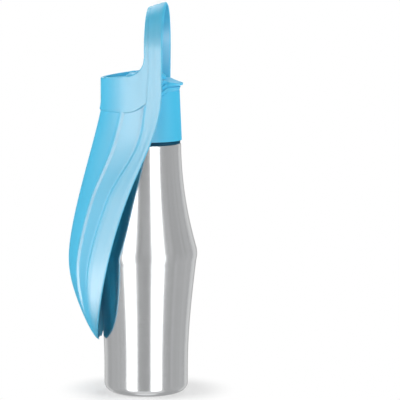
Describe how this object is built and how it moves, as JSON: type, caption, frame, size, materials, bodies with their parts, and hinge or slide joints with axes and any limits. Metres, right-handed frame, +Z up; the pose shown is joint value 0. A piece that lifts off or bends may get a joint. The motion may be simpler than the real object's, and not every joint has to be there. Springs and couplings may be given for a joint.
{
  "type": "dog travel water bottle",
  "caption": "Steel travel water bottle for dogs with a screw cap, a pull-up pouring valve and a leaf-shaped drinking trough that swings up on side pivots.",
  "frame": {"origin": "centre of the bottle's base, on the surface it stands on", "axes": "+Z up along the bottle's axis, +Y towards the middle of the trough's back, -Y towards the cap's front lip, X along the trough's pivot axis"},
  "size_m": [0.0888, 0.1055, 0.3178],
  "materials": {
    "body_steel": "brushed",
    "navy_ring": "satin",
    "cap_blue": "satin",
    "trough_blue": "satin",
    "liner": "satin",
    "seal": "satin",
    "black_rubber": "satin",
    "screw_steel": "satin"
  },
  "bodies": {
    "bottle": {"bottle_shell": "body_steel", "base_disc": "body_steel", "neck_insert": "body_steel", "shoulder_ring": "navy_ring"},
    "cap_carrier": {"mouth_gasket": "seal"},
    "cap": {"cap_shell": "cap_blue", "cap_liner": "liner", "spout_collar": "cap_blue", "vent_valve": "seal", "pivot_yoke": "cap_blue", "yoke_screws": "screw_steel", "pivot_pins": "screw_steel", "hinge_washers": "black_rubber"},
    "valve": {"valve_knob": "cap_blue", "knob_o_ring": "black_rubber", "valve_stem": "liner", "valve_plug": "seal"},
    "trough": {"trough": "trough_blue"}
  },
  "joints": [
    {"name": "cap_lift", "type": "slide", "parent": "bottle", "child": "cap_carrier", "axis": [0, 0, 1], "range_m": [0, 0.006]},
    {"name": "cap_turn", "type": "hinge", "parent": "cap_carrier", "child": "cap", "pos_m": [0, 0, 0], "axis": [0, 0, 1], "range_deg": [0, 540]},
    {"name": "valve_pull", "type": "slide", "parent": "cap", "child": "valve", "axis": [0, 0, 1], "range_m": [0, 0.006]},
    {"name": "trough_tilt", "type": "hinge", "parent": "cap", "child": "trough", "pos_m": [0, 0, 0.247], "axis": [1, 0, 0], "range_deg": [0, 140.5]}
  ],
  "couplings": [
    {"joint": "cap_lift", "follows": "cap_turn", "m_per_rad": 0.0006366}
  ]
}
